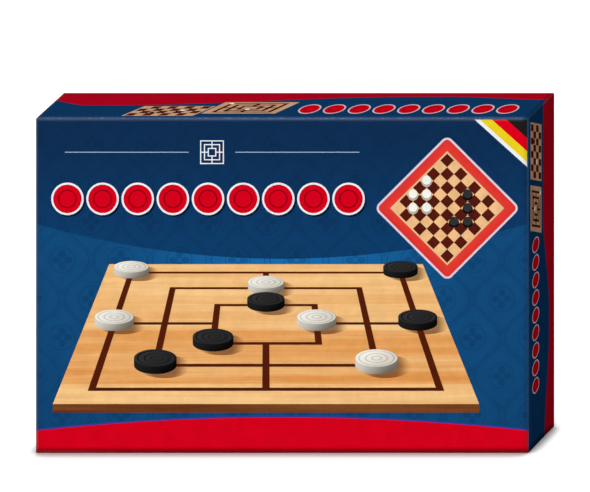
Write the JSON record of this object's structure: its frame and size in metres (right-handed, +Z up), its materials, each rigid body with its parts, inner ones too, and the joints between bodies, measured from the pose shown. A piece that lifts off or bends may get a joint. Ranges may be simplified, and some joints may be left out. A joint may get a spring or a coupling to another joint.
{
  "type": "board game box",
  "caption": "Telescoping cardboard box for a morris and draughts set, standing on its long edge, with formed insert, reversible board, turned men and leaflet.",
  "frame": {"origin": "middle of the rectangle that the standing box rests on, at the floor", "axes": "+X along the cover's long side, to the right as the cover is looked at; +Y from the cover to the underside of the base; +Z up the cover's short side"},
  "size_m": [0.37, 0.044, 0.2515],
  "materials": {
    "lid_print": "printed, varnished",
    "base_print": "printed, varnished",
    "greyboard": "raw grey board",
    "stay_tape": "gummed tape",
    "insert_plastic": "thermoformed sheet",
    "board_panel": "sanded panel",
    "morris_veneer": "printed veneer, satin lacquer",
    "draughts_veneer": "printed veneer, satin lacquer",
    "board_lipping": "stained, satin lacquer",
    "leaflet_paper": "uncoated",
    "white_man": "turned, lacquered",
    "black_man": "turned, black stain, lacquered"
  },
  "bodies": {
    "base": {"base_board": "greyboard", "base_corner_stays": "stay_tape", "base_wrap": "base_print", "insert_tray": "insert_plastic"},
    "lid": {"lid_board": "greyboard", "lid_corner_stays": "stay_tape", "lid_wrap": "lid_print"},
    "game_board": {"board_core": "board_panel", "morris_face": "morris_veneer", "draughts_face": "draughts_veneer", "board_lipping_top": "board_lipping", "board_lipping_left": "board_lipping", "board_lipping_bottom": "board_lipping", "board_lipping_right": "board_lipping"},
    "leaflet": {"rules_leaflet": "leaflet_paper"},
    "white_man_01": {"white_man_01": "white_man"},
    "white_man_02": {"white_man_02": "white_man"},
    "white_man_03": {"white_man_03": "white_man"},
    "white_man_04": {"white_man_04": "white_man"},
    "white_man_05": {"white_man_05": "white_man"},
    "white_man_06": {"white_man_06": "white_man"},
    "white_man_07": {"white_man_07": "white_man"},
    "white_man_08": {"white_man_08": "white_man"},
    "white_man_09": {"white_man_09": "white_man"},
    "white_man_10": {"white_man_10": "white_man"},
    "white_man_11": {"white_man_11": "white_man"},
    "white_man_12": {"white_man_12": "white_man"},
    "black_man_01": {"black_man_01": "black_man"},
    "black_man_02": {"black_man_02": "black_man"},
    "black_man_03": {"black_man_03": "black_man"},
    "black_man_04": {"black_man_04": "black_man"},
    "black_man_05": {"black_man_05": "black_man"},
    "black_man_06": {"black_man_06": "black_man"},
    "black_man_07": {"black_man_07": "black_man"},
    "black_man_08": {"black_man_08": "black_man"},
    "black_man_09": {"black_man_09": "black_man"},
    "black_man_10": {"black_man_10": "black_man"},
    "black_man_11": {"black_man_11": "black_man"},
    "black_man_12": {"black_man_12": "black_man"}
  },
  "joints": [
    {"name": "lid_lift", "type": "slide", "parent": "base", "child": "lid", "axis": [0, -1, 0], "range_m": [0, 0.2]},
    {"name": "game_board_lift", "type": "slide", "parent": "base", "child": "game_board", "axis": [0, -1, 0], "range_m": [0, 0.07]},
    {"name": "leaflet_lift", "type": "slide", "parent": "base", "child": "leaflet", "axis": [0, -1, 0], "range_m": [0, 0.04]},
    {"name": "white_man_01_lift", "type": "slide", "parent": "base", "child": "white_man_01", "axis": [0, -1, 0], "range_m": [0, 0.12]},
    {"name": "white_man_02_lift", "type": "slide", "parent": "base", "child": "white_man_02", "axis": [0, -1, 0], "range_m": [0, 0.12]},
    {"name": "white_man_03_lift", "type": "slide", "parent": "base", "child": "white_man_03", "axis": [0, -1, 0], "range_m": [0, 0.12]},
    {"name": "white_man_04_lift", "type": "slide", "parent": "base", "child": "white_man_04", "axis": [0, -1, 0], "range_m": [0, 0.12]},
    {"name": "white_man_05_lift", "type": "slide", "parent": "base", "child": "white_man_05", "axis": [0, -1, 0], "range_m": [0, 0.12]},
    {"name": "white_man_06_lift", "type": "slide", "parent": "base", "child": "white_man_06", "axis": [0, -1, 0], "range_m": [0, 0.12]},
    {"name": "white_man_07_lift", "type": "slide", "parent": "base", "child": "white_man_07", "axis": [0, -1, 0], "range_m": [0, 0.12]},
    {"name": "white_man_08_lift", "type": "slide", "parent": "base", "child": "white_man_08", "axis": [0, -1, 0], "range_m": [0, 0.12]},
    {"name": "white_man_09_lift", "type": "slide", "parent": "base", "child": "white_man_09", "axis": [0, -1, 0], "range_m": [0, 0.12]},
    {"name": "white_man_10_lift", "type": "slide", "parent": "base", "child": "white_man_10", "axis": [0, -1, 0], "range_m": [0, 0.12]},
    {"name": "white_man_11_lift", "type": "slide", "parent": "base", "child": "white_man_11", "axis": [0, -1, 0], "range_m": [0, 0.12]},
    {"name": "white_man_12_lift", "type": "slide", "parent": "base", "child": "white_man_12", "axis": [0, -1, 0], "range_m": [0, 0.12]},
    {"name": "black_man_01_lift", "type": "slide", "parent": "base", "child": "black_man_01", "axis": [0, -1, 0], "range_m": [0, 0.1]},
    {"name": "black_man_02_lift", "type": "slide", "parent": "base", "child": "black_man_02", "axis": [0, -1, 0], "range_m": [0, 0.1]},
    {"name": "black_man_03_lift", "type": "slide", "parent": "base", "child": "black_man_03", "axis": [0, -1, 0], "range_m": [0, 0.1]},
    {"name": "black_man_04_lift", "type": "slide", "parent": "base", "child": "black_man_04", "axis": [0, -1, 0], "range_m": [0, 0.1]},
    {"name": "black_man_05_lift", "type": "slide", "parent": "base", "child": "black_man_05", "axis": [0, -1, 0], "range_m": [0, 0.1]},
    {"name": "black_man_06_lift", "type": "slide", "parent": "base", "child": "black_man_06", "axis": [0, -1, 0], "range_m": [0, 0.1]},
    {"name": "black_man_07_lift", "type": "slide", "parent": "base", "child": "black_man_07", "axis": [0, -1, 0], "range_m": [0, 0.1]},
    {"name": "black_man_08_lift", "type": "slide", "parent": "base", "child": "black_man_08", "axis": [0, -1, 0], "range_m": [0, 0.1]},
    {"name": "black_man_09_lift", "type": "slide", "parent": "base", "child": "black_man_09", "axis": [0, -1, 0], "range_m": [0, 0.1]},
    {"name": "black_man_10_lift", "type": "slide", "parent": "base", "child": "black_man_10", "axis": [0, -1, 0], "range_m": [0, 0.1]},
    {"name": "black_man_11_lift", "type": "slide", "parent": "base", "child": "black_man_11", "axis": [0, -1, 0], "range_m": [0, 0.1]},
    {"name": "black_man_12_lift", "type": "slide", "parent": "base", "child": "black_man_12", "axis": [0, -1, 0], "range_m": [0, 0.1]}
  ],
  "couplings": [
    {"joint": "game_board_lift", "follows": "lid_lift", "ratio": 0.35},
    {"joint": "leaflet_lift", "follows": "lid_lift", "ratio": 0.2},
    {"joint": "white_man_01_lift", "follows": "lid_lift", "ratio": 0.6},
    {"joint": "white_man_02_lift", "follows": "lid_lift", "ratio": 0.6},
    {"joint": "white_man_03_lift", "follows": "lid_lift", "ratio": 0.6},
    {"joint": "white_man_04_lift", "follows": "lid_lift", "ratio": 0.6},
    {"joint": "white_man_05_lift", "follows": "lid_lift", "ratio": 0.6},
    {"joint": "white_man_06_lift", "follows": "lid_lift", "ratio": 0.6},
    {"joint": "white_man_07_lift", "follows": "lid_lift", "ratio": 0.6},
    {"joint": "white_man_08_lift", "follows": "lid_lift", "ratio": 0.6},
    {"joint": "white_man_09_lift", "follows": "lid_lift", "ratio": 0.6},
    {"joint": "white_man_10_lift", "follows": "lid_lift", "ratio": 0.6},
    {"joint": "white_man_11_lift", "follows": "lid_lift", "ratio": 0.6},
    {"joint": "white_man_12_lift", "follows": "lid_lift", "ratio": 0.6},
    {"joint": "black_man_01_lift", "follows": "lid_lift", "ratio": 0.5},
    {"joint": "black_man_02_lift", "follows": "lid_lift", "ratio": 0.5},
    {"joint": "black_man_03_lift", "follows": "lid_lift", "ratio": 0.5},
    {"joint": "black_man_04_lift", "follows": "lid_lift", "ratio": 0.5},
    {"joint": "black_man_05_lift", "follows": "lid_lift", "ratio": 0.5},
    {"joint": "black_man_06_lift", "follows": "lid_lift", "ratio": 0.5},
    {"joint": "black_man_07_lift", "follows": "lid_lift", "ratio": 0.5},
    {"joint": "black_man_08_lift", "follows": "lid_lift", "ratio": 0.5},
    {"joint": "black_man_09_lift", "follows": "lid_lift", "ratio": 0.5},
    {"joint": "black_man_10_lift", "follows": "lid_lift", "ratio": 0.5},
    {"joint": "black_man_11_lift", "follows": "lid_lift", "ratio": 0.5},
    {"joint": "black_man_12_lift", "follows": "lid_lift", "ratio": 0.5}
  ]
}
